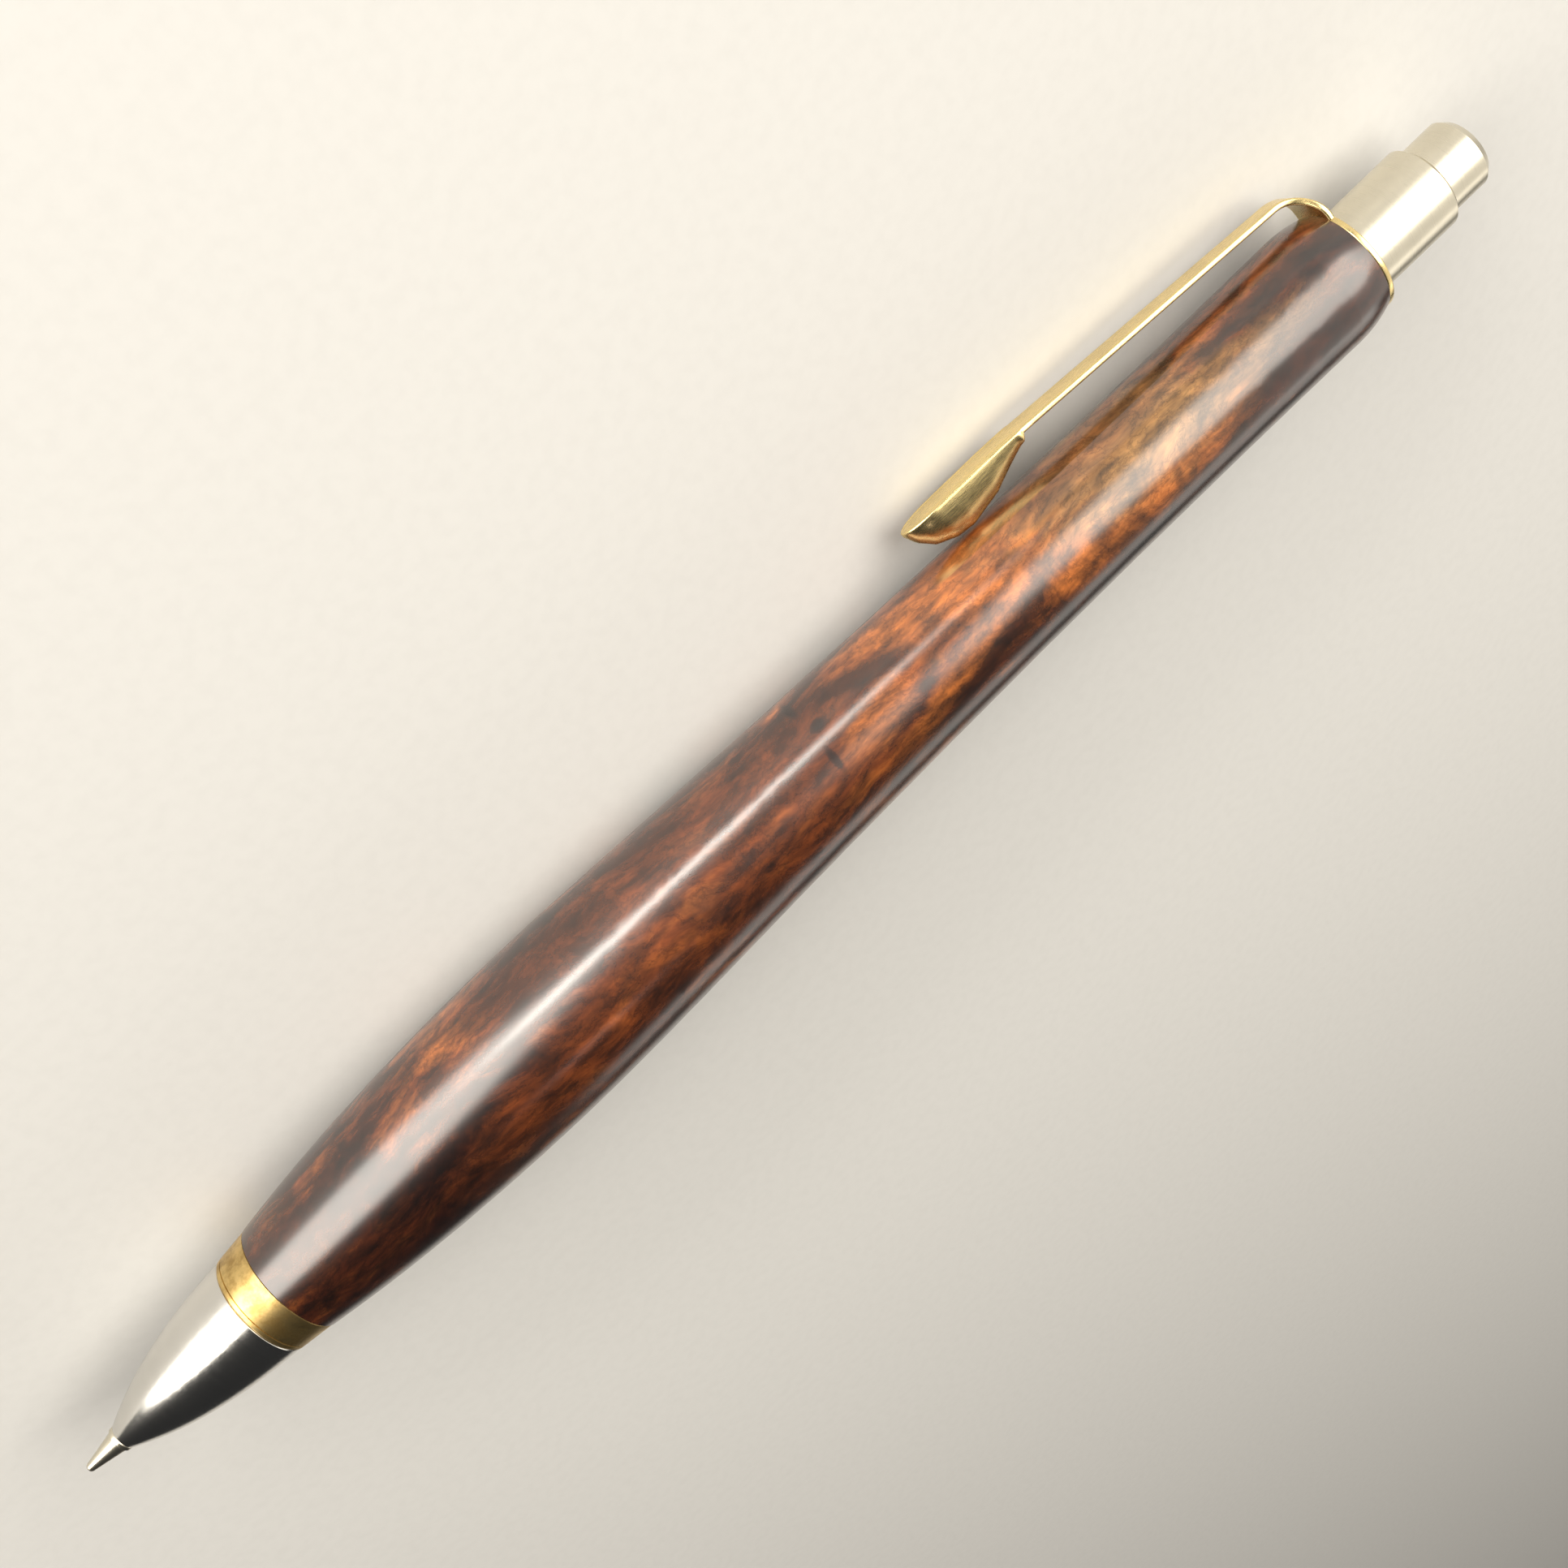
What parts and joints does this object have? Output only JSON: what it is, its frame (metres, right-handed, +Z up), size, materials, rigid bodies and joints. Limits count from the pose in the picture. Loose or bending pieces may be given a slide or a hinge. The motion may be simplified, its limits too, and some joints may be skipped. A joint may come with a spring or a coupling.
{
  "type": "mechanical pencil",
  "caption": "Turned burl-wood mechanical pencil with a steel nose cone, brass trim ring, sprung brass pocket clip, steel collar and push button",
  "frame": {"origin": "on the surface the pencil lies on, under the middle of its bounding box", "axes": "+X along the pencil from the writing tip to the push button, +Y to the side the pocket clip is on, +Z up with the pencil lying on its belly and its clip turned down toward the table"},
  "size_m": [0.1402, 0.015, 0.013],
  "materials": {
    "burl_wood": "polished burl, semi-gloss oil and wax finish",
    "polished_steel": "bright turned steel",
    "satin_steel": "fine turned satin steel",
    "spring_steel": "drawn wire",
    "trim_brass": "satin brass with light patina",
    "clip_brass": "stamped brass, satin polish",
    "inner_brass": "plain machined brass",
    "rubber_black": "soft rubber",
    "eraser_white": "white eraser",
    "tube_plastic": "moulded plastic",
    "graphite": "polymer lead"
  },
  "bodies": {
    "barrel": {"barrel": "burl_wood", "front_insert": "inner_brass", "rear_insert": "inner_brass", "mechanism_sleeve": "inner_brass", "chuck_spring": "spring_steel", "clip_ring": "clip_brass", "tail_collar": "satin_steel"},
    "clip": {"clip_arm": "clip_brass"},
    "trim": {"front_ring": "trim_brass"},
    "nose": {"nose_cone": "polished_steel", "tip_guide": "satin_steel", "lead_retainer": "rubber_black"},
    "feed": {"chuck": "inner_brass", "tube_connector": "tube_plastic", "lead_tube": "inner_brass", "eraser_holder": "inner_brass", "eraser": "eraser_white", "spare_leads": "graphite"},
    "clutch": {"clutch_ring": "inner_brass"},
    "lead": {"lead": "graphite"},
    "button": {"push_button": "satin_steel"}
  },
  "joints": [
    {"name": "knock", "type": "slide", "parent": "barrel", "child": "feed", "axis": [-1, 0, 0], "range_m": [0, 0.003], "stiffness_N_per_m": 900, "springref_m": -0.002, "deforming": ["chuck_spring"]},
    {"name": "clutch_slide", "type": "slide", "parent": "barrel", "child": "clutch", "axis": [-1, 0, 0], "range_m": [0, 0.00075]},
    {"name": "lead_feed", "type": "slide", "parent": "barrel", "child": "lead", "axis": [-1, 0, 0], "range_m": [0, 0.00075]},
    {"name": "button_pull", "type": "slide", "parent": "feed", "child": "button", "axis": [1, 0, 0], "range_m": [0, 0.008]},
    {"name": "clip_spring", "type": "hinge", "parent": "barrel", "child": "clip", "pos_m": [0.05759, 0.00343, 0.00422], "axis": [0, -0.4635, -0.8861], "range_deg": [0, 4], "stiffness_Nm_per_rad": 2.6, "springref_deg": -1.15},
    {"name": "trim_slide", "type": "slide", "parent": "barrel", "child": "trim", "axis": [-1, 0, 0], "range_m": [0, 0.008]},
    {"name": "nose_unscrew", "type": "hinge", "parent": "trim", "child": "nose", "pos_m": [-0.05257, -0.00097, 0.00652], "axis": [-1, 0, 0], "range_deg": [0, 2880]}
  ],
  "couplings": [
    {"joint": "clutch_slide", "follows": "knock", "ratio": 0.25},
    {"joint": "lead_feed", "follows": "knock", "ratio": 0.25},
    {"joint": "nose_unscrew", "follows": "trim_slide", "rad_per_m": 6283.2}
  ]
}
